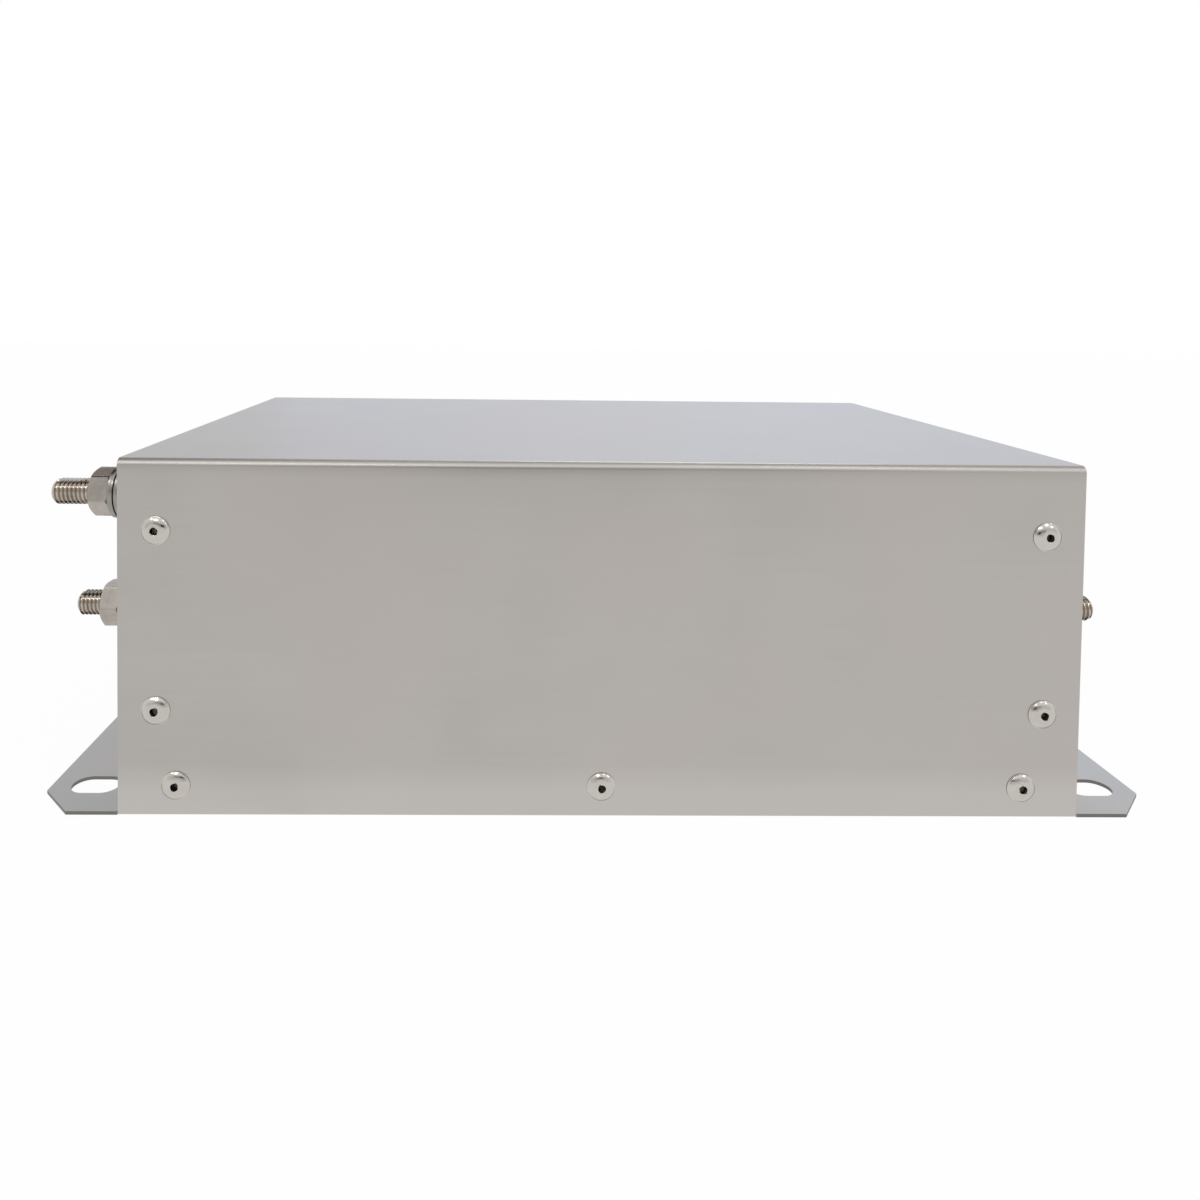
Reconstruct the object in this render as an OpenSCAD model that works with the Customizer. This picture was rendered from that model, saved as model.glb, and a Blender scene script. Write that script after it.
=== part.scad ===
// Three-phase EMI line filter in a riveted sheet-metal case.
// The case stands on z = 0 and is centred on the origin. x runs from the line end (-x)
// to the load end (+x), and the front of the case faces -y.

/* [Case] */
// Length of the case over its end plates
case_l = 270; // [262:1:300]
// Width of the case from front to back
case_w = 168; // [164:1:190]
// Height of the case
case_h = 100; // [98:1:125]
// Thickness of the sheet metal
sheet_t = 1; // [0.8:0.1:1.3]
// Outer radius of the folds in the sheet
fold_r = 2; // [1.6:0.1:2.6]
// Clearance between sheets that lap or meet
lap_gap = 0.1; // [0.05:0.05:0.2]
// Clearance under the lower edges of the cover
skirt_gap = 0.2; // [0.1:0.1:0.8]
// Height of the base plate's upturned lips
lip_h = 16; // [14:0.5:20]
// Width of the flanges folded round the end plates
end_flange_w = 17; // [16:0.5:22]
// Length of the notches that relieve the folds at the corners
notch = 1; // [0.6:0.1:2]

/* [Mounting flanges] */
// Length that each mounting flange stands out from the case
tab_l = 25; // [24:0.5:32]
// Length of the bevels on the flanges' corners
tab_bevel = 10.5; // [6:0.5:12]
// Width of the mounting slots
slot_w = 9; // [6:0.5:10]
// Length of the mounting slots from end to end
slot_l = 14; // [12:0.5:16]
// Distance of the slot centres from the flange's outer edge
slot_edge = 12.8; // [12:0.2:14]
// Distance of the slot centres from the front and back of the case
slot_side = 13.7; // [11:0.1:18]

/* [Rivets] */
// Diameter of the rivets' bodies
rivet_d = 4; // [3.2:0.2:4.8]
// Diameter of the rivets' domed heads
rivet_head_d = 8; // [7:0.2:9]
// Height of the rivets' domed heads
rivet_head_h = 1.4; // [1:0.1:1.8]
// Thickness of the rivets' rims
rivet_rim = 0.35; // [0.2:0.05:0.6]
// Diameter of the mandrel hole in the rivets
rivet_bore_d = 2.3; // [1.6:0.1:2.5]
// Depth of the mandrel hole below the face of the sheet
rivet_bore_l = 1.2; // [0.8:0.1:1.8]
// Diameter of the rivets' blind ends
rivet_bulb_d = 5.6; // [5:0.2:7]
// Length of the rivets' blind ends
rivet_bulb_l = 4; // [3:0.2:6]
// Clearance round the rivets in their holes
rivet_fit = 0.05; // [0.02:0.01:0.1]
// Distance of the side rivets from the ends of the case
side_rivet_edge = 10.5; // [8:0.5:12]
// Height of the lower side rivets
side_rivet_low = 29.5; // [26:0.5:36]
// Distance of the upper side rivets below the top of the case
side_rivet_drop = 20; // [14:0.5:30]
// Distance of the corner rivets in the bottom row from the ends of the case
low_rivet_edge = 16; // [12:0.5:24]
// Height of the bottom row of rivets
low_rivet_z = 8.4; // [7:0.1:10]

/* [Terminals] */
// Diameter of the threaded studs
stud_d = 8; // [6:1:8]
// Length that the studs stand out from the case
stud_out = 29.5; // [27:0.5:40]
// Length of the bevel at the tips of the studs
stud_bevel = 1; // [0.5:0.1:1.4]
// Depth below the crests of a stud's thread at which its nuts bear on it
thread_depth = 0.4; // [0.3:0.05:0.6]
// Distance of the free threads from the outer nuts
crest_gap = 0.3; // [0.1:0.1:0.6]
// Distance between the terminal studs
stud_pitch = 43; // [40:0.5:48]
// Height of the row of terminal studs
stud_z = 46; // [44:0.5:50]
// Distance of the earth stud from the front of the case
earth_side = 25.3; // [22:0.1:30]
// Distance of the earth stud below the top of the case
earth_drop = 14.5; // [14:0.1:20]
// Width of the nuts across their flats
nut_af = 13; // [11:0.5:14]
// Height of the nuts
nut_h = 6.5; // [5:0.1:7]
// Angle that the nuts of the terminals stand turned
nut_turn = 29; // [0:1:59]
// Angle that the nuts of the earth stud stand turned
earth_nut_turn = 15.5; // [0:0.5:59.5]
// Height of the heads of the bolts that form the studs
bolt_head_h = 5.3; // [4:0.1:6]
// Clearance between a stud and the thread of its nut
thread_fit = 0.03; // [0.02:0.01:0.06]
// Outer diameter of the flat washers
washer_d = 16; // [14:0.5:18]
// Thickness of the flat washers
washer_t = 1.6; // [1.2:0.1:2]
// Clearance round the studs in washers, bushes and bars
stud_fit = 0.2; // [0.1:0.05:0.3]
// Gap left between the washers for a cable lug
lug_gap = 0.3; // [0.2:0.1:0.8]
// Thickness of the earth stud's toothed washer
tooth_washer_t = 0.8; // [0.6:0.1:1]
// Outer diameter of the toothed washer
tooth_washer_d = 15; // [14:0.5:17]
// Number of teeth on the toothed washer
teeth = 12; // [8:1:16]

/* [Insulating bushes] */
// Diameter of the bushes' flanges
bush_d = 22; // [20:0.5:26]
// Thickness of the outer bushes' flanges
bush_outer_t = 3; // [2.4:0.1:4]
// Thickness of the inner bushes
bush_inner_t = 4; // [3.5:0.1:5]
// Diameter of the spigots that pass through the end plates
spigot_d = 14; // [12:0.5:16]
// Depth of the spigots in the inner bushes
spigot_in = 2; // [1:0.1:3]
// Clearance round the spigots
bush_fit = 0.1; // [0.05:0.05:0.2]

/* [Terminal bars and lugs] */
// Width of the copper bars
bar_w = 14; // [12:0.5:16]
// Thickness of the copper bars
bar_t = 2; // [1.5:0.1:3]
// Outer radius of the bend in the bars
bar_fold_r = 4; // [3.2:0.1:6]
// Length of the bars along the case
bar_l = 53; // [50:0.5:56]
// Height of the bars' upper faces above the stud axis
bar_rise = 16; // [14:0.5:20]
// Length of a bar below the stud axis
bar_drop = 8; // [7:0.5:9]
// Distance of the lug screws from the free ends of the bars
lug_screw_edge = 6; // [5:0.5:8]
// Thickness of the lugs' palms
palm_t = 2; // [1.5:0.1:2.5]
// Outer diameter of the lugs' barrels
barrel_d = 8; // [7.5:0.1:9]
// Length of the lugs' barrels
barrel_l = 10; // [8:0.5:12]
// Diameter of the lug screws
lug_screw_d = 5; // [4:0.5:5]
// Length of the lug screws under their heads
lug_screw_l = 12; // [8:0.5:16]
// Diameter of the lug screws' heads
lug_screw_head_d = 9; // [8:0.2:10]
// Height of the lug screws' heads
lug_screw_head_h = 3; // [2:0.1:4]
// Diameter of the brass posts between board and bar
post_d = 9; // [8:0.5:11]
// Clearance round screws, wires and pins inside the case
screw_fit = 0.05; // [0.03:0.01:0.1]

/* [Choke] */
// Outer diameter of the core
core_d = 110; // [100:1:110]
// Diameter of the hole in the core
core_hole_d = 66; // [64:1:70]
// Height of the core
core_h = 40; // [36:1:44]
// Thickness of the core case's walls
core_wall = 2; // [1.6:0.1:2.4]
// Clearance between the core and its case
core_fit = 0.3; // [0.1:0.1:0.5]
// Diameter of the winding wire
wire_d = 5; // [4:0.1:5]
// Number of turns in each winding
turns = 6; // [4:1:6]
// Angle that each winding covers
winding_arc = 90; // [80:1:90]
// Bend radius of the wire at its centre line
wire_bend_r = 4; // [3.6:0.1:4.4]
// Clearance round the wire
wire_fit = 0.15; // [0.1:0.05:0.3]
// Height at which the middle winding's lead crosses over the choke
cross_rise = 14; // [10:0.5:18]
// Length along the case in which the line leads swing over to their lugs
lead_turn = 10; // [8:0.5:12]
// Thickness of the insulating pad under the choke
pad_t = 3; // [2:0.2:4]
// Margin of the pad outside the windings
pad_margin = 1.5; // [0.5:0.5:2]
// Thickness of the separator's vanes
vane_t = 3; // [2:0.5:4]
// Diameter of the hub of separator and clamp
hub_d = 20; // [16:1:24]
// Width of the clamp's arms
clamp_arm_w = 10; // [8:0.5:11]
// Thickness of the clamp
clamp_t = 4; // [3:0.5:6]
// Distance that the clamp's arms stay inside the edge of the core case
clamp_edge = 4; // [2:0.5:8]
// Diameter of the stud that holds the clamp
clamp_stud_d = 6; // [5:0.5:8]
// Width of the clamp nut across its flats
clamp_nut_af = 10; // [9:0.5:13]
// Height of the clamp nut
clamp_nut_h = 5; // [4:0.5:6]
// Outer diameter of the clamp washer
clamp_washer_d = 12; // [12:0.5:15]
// Length of the clamp stud above its nut
clamp_stud_over = 2; // [1:0.5:4]

/* [Capacitor boards] */
// Width of the boards along the case
board_l = 48; // [46:0.5:50]
// Length of the boards across the case
board_w = 146; // [140:1:150]
// Thickness of the boards
board_t = 1.6; // [1:0.1:2.4]
// Distance between a board and its end plate
board_end = 16; // [15:0.5:17]
// Height of the standoffs under the boards
standoff_h = 8; // [6:0.5:10]
// Width of the standoffs across their flats
standoff_af = 7; // [6:0.5:8]
// Distance of the standoffs from the boards' edges
standoff_edge = 4.5; // [4.5:0.1:6]
// Diameter of the board screws
board_screw_d = 3; // [2.5:0.1:3.5]
// Length of the board screws under their heads
board_screw_l = 6; // [4:0.5:7]
// Diameter of the board screws' heads
board_screw_head_d = 5.6; // [5:0.1:6.5]
// Height of the board screws' heads
board_screw_head_h = 1.8; // [1.2:0.1:2.5]
// Length of an X capacitor across the case
x_cap_l = 32; // [28:0.5:36]
// Width of an X capacitor along the case
x_cap_w = 18; // [14:0.5:20]
// Height of an X capacitor
x_cap_h = 28; // [22:0.5:31]
// Corner radius of the X capacitors
x_cap_r = 1; // [0.5:0.1:2]
// Diameter of a Y capacitor
y_cap_d = 12; // [9:0.5:13]
// Thickness of a Y capacitor
y_cap_t = 4.5; // [3:0.5:6]
// Diameter of a discharge resistor
resistor_d = 4.5; // [3:0.5:6]
// Length of a discharge resistor
resistor_l = 12; // [9:0.5:13]
// Diameter of the parts' connecting wires
pin_d = 0.9; // [0.6:0.1:1.2]
// Height of small parts above the boards
part_lift = 2; // [1:0.5:3]
// Distance of the small parts from the posts
part_side = 14; // [13:0.5:15]

/* [Hidden] */
$fn = 64;

LINE = -1;
LOAD = 1;
half_l = case_l / 2;
half_w = case_w / 2;
lap = sheet_t + lap_gap;
inner_w = case_w - 2 * lap;
inner_end = half_l - sheet_t;
floor_z = sheet_t;
rivet_grip = sheet_t + lap;
held_d = stud_d - 2 * thread_depth;
hex_over_flats = 1 / cos(30);

// Distances along a stud, measured outwards from the face of its end plate
terminal_seat = bush_outer_t + washer_t;
earth_seat = tooth_washer_t;
function lug_washer_at(seat) = seat + nut_h;
function outer_washer_at(seat) = lug_washer_at(seat) + washer_t + lug_gap;
function outer_nut_at(seat) = outer_washer_at(seat) + washer_t;
bar_at = sheet_t + bush_inner_t;
bolt_at = bar_at + bar_t;

// Levels and places inside the case
bar_top = stud_z + bar_rise;
bar_face = half_l - bar_at;
lug_x = bar_face - bar_l + lug_screw_edge;
mouth_x = lug_x - bar_w / 2 - barrel_l;
lead_z = bar_top + barrel_d / 2;
board_x = inner_end - board_end - board_l / 2;
board_z = floor_z + standoff_h;
board_top = board_z + board_t;
x_cap_x = board_x + board_l / 2 - x_cap_w / 2 - 2 * board_t;

// Places round the choke
wire_r = wire_d / 2;
wire_sides = 8;
bend_steps = 3;
case_outer_r = core_d / 2 + core_fit + core_wall;
case_inner_r = core_hole_d / 2 - core_fit - core_wall;
outer_leg_r = case_outer_r + wire_fit + wire_r;
inner_leg_r = case_inner_r - wire_fit - wire_r;
pad_top = floor_z + pad_t;
low_wire_z = pad_top + wire_fit + wire_r;
core_case_z = low_wire_z + wire_r + wire_fit;
core_case_h = core_h + 2 * (core_fit + core_wall);
core_case_top = core_case_z + core_case_h;
high_wire_z = core_case_top + wire_fit + wire_r;
gap_arc = 120 - winding_arc;
clamp_top = core_case_top + clamp_t;

// ---- Shared shapes ----

// A rectangle with its foot on the x axis and its two upper corners rounded
module arch(w, h, r) {
    translate([-w / 2, 0]) square([w, h - r]);
    translate([r - w / 2, 0]) square([w - 2 * r, h]);
    for (side = [-1, 1]) translate([side * (w / 2 - r), h - r]) circle(r);
}

// The section of a sheet folded down on two sides
module channel_section(w, h) {
    difference() {
        arch(w, h, fold_r);
        translate([0, -sheet_t]) arch(w - 2 * sheet_t, h, fold_r - sheet_t);
    }
}

// A rectangle on its centre with all four corners rounded
module round_rect(l, w, r) {
    square([l - 2 * r, w], center = true);
    square([l, w - 2 * r], center = true);
    for (x = [-1, 1], y = [-1, 1]) translate([x * (l / 2 - r), y * (w / 2 - r)]) circle(r);
}

// A slot along x with round ends
module slot_shape(l, w) {
    square([l - w, w], center = true);
    for (side = [-1, 1]) translate([side * (l - w) / 2, 0]) circle(w / 2);
}

// An angle: one leg runs along +x, the other down, and the outer corner is at the origin
module angle_section(a, b, t, r) {
    translate([r, -t]) square([a - r, t]);
    translate([0, -b]) square([t, b - r]);
    intersection() {
        translate([0, -r]) square(r);
        translate([r, -r]) difference() {
            circle(r);
            circle(r - t);
        }
    }
}

// A hexagon block with its edges turned off at both ends
module hex_block(af, h) {
    corner_r = af * hex_over_flats / 2;
    turned = (corner_r - af / 2) * tan(30);
    intersection() {
        cylinder(r = corner_r, h = h, $fn = 6);
        rotate_extrude() polygon([[0, 0], [af / 2, 0], [corner_r, turned],
            [corner_r, h - turned], [af / 2, h], [0, h]]);
    }
}

module nut(d, af, h) {
    difference() {
        hex_block(af, h);
        translate([0, 0, -h]) cylinder(d = d + 2 * thread_fit, h = 3 * h);
    }
}

module washer(d, bore_d, t) {
    edge = t / 8;
    difference() {
        rotate_extrude() polygon([[0, 0], [d / 2 - edge, 0], [d / 2, edge],
            [d / 2, t - edge], [d / 2 - edge, t], [0, t]]);
        translate([0, 0, -t]) cylinder(d = bore_d, h = 3 * t);
    }
}

// A screw with its head above z = 0 and its body below
module pan_screw(d, l, head_d, head_h) {
    edge = head_h / 4;
    rotate_extrude() polygon([[0, -l], [d / 2, -l], [d / 2, 0], [head_d / 2, 0],
        [head_d / 2, head_h - edge], [head_d / 2 - edge, head_h], [0, head_h]]);
}

// ---- Places ----

// On the face of an end plate, with z pointing out of the case
module on_end(side, y, z) {
    translate([side * half_l, y, z]) rotate([0, side * 90, 0]) children();
}

module at_terminals(side) {
    for (row = [-1:1]) on_end(side, row * stud_pitch, stud_z) children();
}

module at_earth() {
    on_end(LINE, earth_side - half_w, case_h - earth_drop) children();
}

// On the front (-1) or back (1) of the case, with z pointing out of it
module on_face(face, x, z) {
    translate([x, face * half_w, z]) rotate([-face * 90, 0, 0]) children();
}

module at_side_rivets(face) {
    for (side = [LINE, LOAD], z = [side_rivet_low, case_h - side_rivet_drop])
        on_face(face, side * (half_l - side_rivet_edge), z) children();
}

module at_low_rivets(face) {
    for (step = [-1:1]) on_face(face, step * (half_l - low_rivet_edge), low_rivet_z) children();
}

// At the lug screws, on the upper faces of the bars, with x pointing to the near end
module at_lugs(side) {
    for (row = [-1:1])
        translate([side * lug_x, row * stud_pitch, bar_top]) rotate(side > 0 ? 0 : 180) children();
}

module at_standoffs(side) {
    for (x = [-1, 1], y = [-1, 1])
        translate([side * board_x + x * (board_l / 2 - standoff_edge),
            y * (board_w / 2 - standoff_edge), floor_z]) children();
}

// ---- Case ----

module rivet_hole() {
    translate([0, 0, -2 * rivet_grip]) cylinder(d = rivet_d + 2 * rivet_fit, h = 3 * rivet_grip);
}

module flange_slots() {
    for (x = [-1, 1], y = [-1, 1])
        translate([x * (half_l + tab_l - slot_edge), y * (half_w - slot_side)])
            slot_shape(slot_l, slot_w);
}

module base_outline() {
    plate_l = case_l + 2 * tab_l;
    fold_w = inner_w - 2 * (fold_r + notch);
    difference() {
        square([plate_l, case_w], center = true);
        for (y = [-1, 1]) translate([0, y * (fold_w + case_w) / 2])
            square([case_l + 2 * lap_gap, case_w], center = true);
        for (x = [-1, 1], y = [-1, 1]) translate([x * plate_l / 2, y * half_w]) rotate(45)
            square(tab_bevel * sqrt(2), center = true);
    }
}

module base_plate() {
    color("silver") difference() {
        union() {
            linear_extrude(sheet_t) difference() {
                base_outline();
                flange_slots();
            }
            translate([0, 0, lip_h]) rotate([90, 180, 90])
                linear_extrude(2 * (inner_end - lap_gap), center = true)
                    channel_section(inner_w, lip_h);
        }
        for (face = [-1, 1]) at_low_rivets(face) rivet_hole();
    }
}

module cover() {
    color("gainsboro") difference() {
        translate([0, 0, skirt_gap]) rotate([90, 0, 90])
            linear_extrude(case_l, center = true) channel_section(case_w, case_h - skirt_gap);
        for (face = [-1, 1]) {
            at_side_rivets(face) rivet_hole();
            at_low_rivets(face) rivet_hole();
        }
    }
}

// A tray with four folded flanges that point into the case and notched corners
module end_tray(side) {
    tray_h = case_h - lap - floor_z;
    side_z = lip_h + lap_gap;
    side_h = case_h - lap - fold_r - notch - side_z;
    web_z = floor_z + fold_r + notch;
    translate([side * (half_l - end_flange_w), 0, side_z]) rotate(-side * 90)
        linear_extrude(side_h) channel_section(inner_w, end_flange_w);
    translate([side * (half_l - end_flange_w), 0, floor_z + tray_h / 2])
        rotate([0, -90, -side * 90])
            linear_extrude(inner_w - 2 * (fold_r + notch), center = true)
                channel_section(tray_h, end_flange_w);
    translate([side * (half_l - sheet_t / 2), 0, web_z + (side_z - web_z) / 2])
        cube([sheet_t, inner_w, side_z - web_z], center = true);
}

module end_plate(side) {
    color("lightgray") difference() {
        end_tray(side);
        at_terminals(side) translate([0, 0, -2 * sheet_t])
            cylinder(d = spigot_d + 2 * bush_fit, h = 3 * sheet_t);
        for (face = [-1, 1]) at_side_rivets(face) rivet_hole();
    }
}

module line_end_plate() {
    color("lightgray") difference() {
        end_plate(LINE);
        at_earth() translate([0, 0, -2 * sheet_t])
            cylinder(d = stud_d + 2 * stud_fit, h = 3 * sheet_t);
    }
}

module load_end_plate() {
    end_plate(LOAD);
}

// A set blind rivet: domed head, body, and the end that was drawn up inside
module rivet() {
    rise = rivet_head_h - rivet_rim;
    dome_r = (pow(rivet_head_d / 2, 2) + rise * rise) / (2 * rise);
    difference() {
        union() {
            intersection() {
                translate([0, 0, rivet_head_h - dome_r]) sphere(dome_r, $fn = 128);
                cylinder(d = rivet_head_d, h = rivet_head_h);
            }
            translate([0, 0, -rivet_grip]) cylinder(d = rivet_d, h = rivet_grip);
            translate([0, 0, -rivet_grip - rivet_bulb_l / 2])
                cylinder(d1 = rivet_bulb_d, d2 = rivet_bulb_d, h = rivet_bulb_l / 2);
            translate([0, 0, -rivet_grip - rivet_bulb_l])
                cylinder(d1 = rivet_d, d2 = rivet_bulb_d, h = rivet_bulb_l / 2);
        }
        translate([0, 0, -rivet_bore_l]) cylinder(d = rivet_bore_d, h = rivet_bore_l + rivet_head_h);
    }
}

module rivets(face) {
    color("whitesmoke") {
        at_side_rivets(face) rivet();
        at_low_rivets(face) rivet();
    }
}

// ---- Terminals ----

// A hexagon bolt set from inside the case. depth is how far its head lies behind the end plate,
// and seat is where its first nut lies.
module stud(depth, seat) {
    free_at = outer_nut_at(seat) + nut_h + crest_gap;
    translate([0, 0, -depth]) cylinder(d = held_d, h = depth + free_at);
    translate([0, 0, free_at]) cylinder(d = stud_d, h = stud_out - stud_bevel - free_at);
    translate([0, 0, stud_out - stud_bevel])
        cylinder(d1 = stud_d, d2 = stud_d - 2 * stud_bevel, h = stud_bevel);
    translate([0, 0, -depth - bolt_head_h]) hex_block(nut_af, bolt_head_h);
}

module outer_bush() {
    difference() {
        union() {
            cylinder(d = bush_d, h = bush_outer_t);
            translate([0, 0, -sheet_t - spigot_in])
                cylinder(d = spigot_d, h = sheet_t + spigot_in);
        }
        translate([0, 0, -bush_d]) cylinder(d = stud_d + 2 * stud_fit, h = 2 * bush_d);
    }
}

module inner_bush() {
    translate([0, 0, -bar_at]) difference() {
        cylinder(d = bush_d, h = bush_inner_t);
        translate([0, 0, bush_inner_t - spigot_in - bush_fit])
            cylinder(d = spigot_d + 2 * bush_fit, h = bush_inner_t);
        translate([0, 0, -bush_d]) cylinder(d = stud_d + 2 * stud_fit, h = 2 * bush_d);
    }
}

module stud_nut() {
    nut(held_d, nut_af, nut_h);
}

module stud_washer() {
    washer(washer_d, stud_d + 2 * stud_fit, washer_t);
}

module lug_washers(seat) {
    for (z = [lug_washer_at(seat), outer_washer_at(seat)]) translate([0, 0, z]) stud_washer();
}

module outer_bushes(side) {
    color("dimgray") at_terminals(side) outer_bush();
}

module inner_bushes(side) {
    color("dimgray") at_terminals(side) inner_bush();
}

module studs(side) {
    color("darkgray") at_terminals(side) stud(bolt_at, terminal_seat);
}

module bush_washers(side) {
    color("lightgray") at_terminals(side) translate([0, 0, bush_outer_t]) stud_washer();
}

module clamp_nuts(side) {
    color("lightgray") at_terminals(side) translate([0, 0, terminal_seat]) rotate(nut_turn) stud_nut();
}

module terminal_lug_washers(side) {
    color("lightgray") at_terminals(side) lug_washers(terminal_seat);
}

module outer_nuts(side) {
    color("lightgray") at_terminals(side) translate([0, 0, outer_nut_at(terminal_seat)])
        rotate(nut_turn) stud_nut();
}

module earth_stud() {
    color("darkgray") at_earth() stud(sheet_t, earth_seat);
}

module earth_toothed_washer() {
    root_d = (tooth_washer_d + stud_d) / 2 + tooth_washer_t;
    tooth_l = (tooth_washer_d - root_d) / 2 + tooth_washer_t;
    tooth_w = root_d * sin(180 / teeth) * 2 / 3;
    color("gray") at_earth() linear_extrude(tooth_washer_t) difference() {
        union() {
            circle(d = root_d);
            for (i = [0:teeth - 1]) rotate(i * 360 / teeth)
                translate([tooth_washer_d / 2 - tooth_l, -tooth_w / 2]) square([tooth_l, tooth_w]);
        }
        circle(d = stud_d + 2 * stud_fit);
    }
}

module earth_clamp_nut() {
    color("lightgray") at_earth() translate([0, 0, earth_seat]) rotate(earth_nut_turn) stud_nut();
}

module earth_lug_washers() {
    color("lightgray") at_earth() lug_washers(earth_seat);
}

module earth_outer_nut() {
    color("lightgray") at_earth() translate([0, 0, outer_nut_at(earth_seat)])
        rotate(earth_nut_turn) stud_nut();
}

// ---- Bars, lugs and posts ----

module terminal_bar() {
    foot_z = stud_z - bar_drop;
    difference() {
        rotate([90, 0, 0]) linear_extrude(bar_w, center = true)
            translate([0, bar_top]) angle_section(bar_l, bar_top - foot_z, bar_t, bar_fold_r);
        translate([-bar_t, 0, stud_z]) rotate([0, 90, 0])
            cylinder(d = stud_d + 2 * stud_fit, h = 3 * bar_t);
        translate([bar_l - lug_screw_edge, 0, bar_top - 2 * bar_t])
            cylinder(d = lug_screw_d + 2 * screw_fit, h = 3 * bar_t);
    }
}

module bars(side) {
    color("peru") for (row = [-1:1])
        translate([side * bar_face, row * stud_pitch, 0]) rotate(side > 0 ? 180 : 0) terminal_bar();
}

// A crimp lug: its palm lies flat on z = 0 and its barrel opens towards -x
module lug() {
    bore_d = wire_d + 2 * screw_fit;
    palm_w = bar_w - palm_t;
    difference() {
        union() {
            linear_extrude(palm_t) {
                circle(d = palm_w);
                translate([-bar_w / 2 - palm_t, -palm_w / 2]) square([bar_w / 2 + palm_t, palm_w]);
            }
            translate([-bar_w / 2 - barrel_l, 0, barrel_d / 2]) rotate([0, 90, 0])
                cylinder(d = barrel_d, h = barrel_l);
        }
        translate([-bar_w / 2 - barrel_l - palm_t, 0, barrel_d / 2]) rotate([0, 90, 0])
            cylinder(d = bore_d, h = barrel_l);
        translate([0, 0, -palm_t]) cylinder(d = lug_screw_d + 2 * screw_fit, h = 3 * palm_t);
    }
}

module lugs(side) {
    color("silver") at_lugs(side) lug();
}

module lug_screws(side) {
    color("gray") at_lugs(side) translate([0, 0, palm_t])
        pan_screw(lug_screw_d, lug_screw_l, lug_screw_head_d, lug_screw_head_h);
}

module posts(side) {
    post_h = bar_top - bar_t - board_top;
    color("goldenrod") at_lugs(side) translate([0, 0, -bar_t - post_h]) difference() {
        cylinder(d = post_d, h = post_h);
        translate([0, 0, post_h - lug_screw_l])
            cylinder(d = lug_screw_d + 2 * screw_fit, h = 2 * lug_screw_l);
    }
}

// ---- Capacitor boards ----

module board(side) {
    color("darkgreen") difference() {
        translate([side * board_x, 0, board_z]) linear_extrude(board_t)
            square([board_l, board_w], center = true);
        at_standoffs(side) cylinder(d = board_screw_d + 2 * screw_fit, h = 2 * standoff_h);
    }
}

module standoffs(side) {
    color("goldenrod") at_standoffs(side) difference() {
        cylinder(d = standoff_af * hex_over_flats, h = standoff_h, $fn = 6);
        translate([0, 0, standoff_h - board_screw_l])
            cylinder(d = board_screw_d + 2 * screw_fit, h = 2 * board_screw_l);
    }
}

module board_screws(side) {
    color("gray") at_standoffs(side) translate([0, 0, standoff_h + board_t])
        pan_screw(board_screw_d, board_screw_l, board_screw_head_d, board_screw_head_h);
}

module x_capacitors(side) {
    color("gold") for (row = [-1:1])
        translate([side * x_cap_x, row * stud_pitch, board_top])
            linear_extrude(x_cap_h) round_rect(x_cap_w, x_cap_l, x_cap_r);
}

// A disc on two wires
module y_capacitor() {
    axis_z = part_lift + y_cap_d / 2;
    translate([-y_cap_t / 2, 0, axis_z]) rotate([0, 90, 0]) cylinder(d = y_cap_d, h = y_cap_t);
    for (y = [-1, 1]) translate([0, y * y_cap_d / 4, 0]) cylinder(d = pin_d, h = axis_z);
}

module y_capacitors(side) {
    color("steelblue") for (row = [-1:1])
        translate([side * lug_x, row * stud_pitch + part_side, board_top]) y_capacitor();
}

// A body with a wire bent down to the board at each end
module resistor() {
    axis_z = part_lift + resistor_d / 2;
    reach = resistor_l / 2 + pin_d;
    translate([-resistor_l / 2, 0, axis_z]) rotate([0, 90, 0])
        cylinder(d = resistor_d, h = resistor_l);
    translate([-reach, 0, axis_z]) rotate([0, 90, 0]) cylinder(d = pin_d, h = 2 * reach);
    for (x = [-1, 1]) translate([x * reach, 0, 0]) cylinder(d = pin_d, h = axis_z + pin_d / 2);
}

module resistors(side) {
    color("tan") for (row = [-1:1])
        translate([side * lug_x, row * stud_pitch - part_side, board_top]) resistor();
}

// ---- Choke ----

module choke_core() {
    color("dimgray") translate([0, 0, core_case_z + core_wall + core_fit])
        linear_extrude(core_h) difference() {
            circle(d = core_d);
            circle(d = core_hole_d);
        }
}

// The outside of the core case, rounded where the wire bends over it
module core_case_body() {
    translate([0, 0, core_case_z + core_case_h / 2]) rotate_extrude()
        translate([(case_outer_r + case_inner_r) / 2, 0])
            round_rect(case_outer_r - case_inner_r, core_case_h, core_wall);
}

module core_case() {
    ring_r = case_outer_r - core_wall;
    hole_r = case_inner_r + core_wall;
    color("ivory") difference() {
        core_case_body();
        translate([0, 0, core_case_z + core_wall]) linear_extrude(core_case_h) difference() {
            circle(ring_r);
            circle(hole_r);
        }
        translate([0, 0, core_case_top - core_wall]) cylinder(r = 2 * case_outer_r, h = core_case_h);
    }
}

module core_case_lid() {
    color("ivory") intersection() {
        core_case_body();
        translate([0, 0, core_case_top - core_wall]) cylinder(r = 2 * case_outer_r, h = core_case_h);
    }
}

function unit(v) = v / norm(v);
function round_choke(r, angle, z) = [r * cos(angle), r * sin(angle), z];

// The corners of a winding from angle a to angle b: in over the core, down its hole,
// out under it and up outside, once for each turn
function winding_corners(a, b) = let (step = (b - a) / turns) concat(
    [for (i = [0:turns - 1]) each [
        round_choke(outer_leg_r, a + i * step, high_wire_z),
        round_choke(inner_leg_r, a + (i + 0.5) * step, high_wire_z),
        round_choke(inner_leg_r, a + (i + 0.5) * step, low_wire_z),
        round_choke(outer_leg_r, a + (i + 1) * step, low_wire_z)]]);

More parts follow.
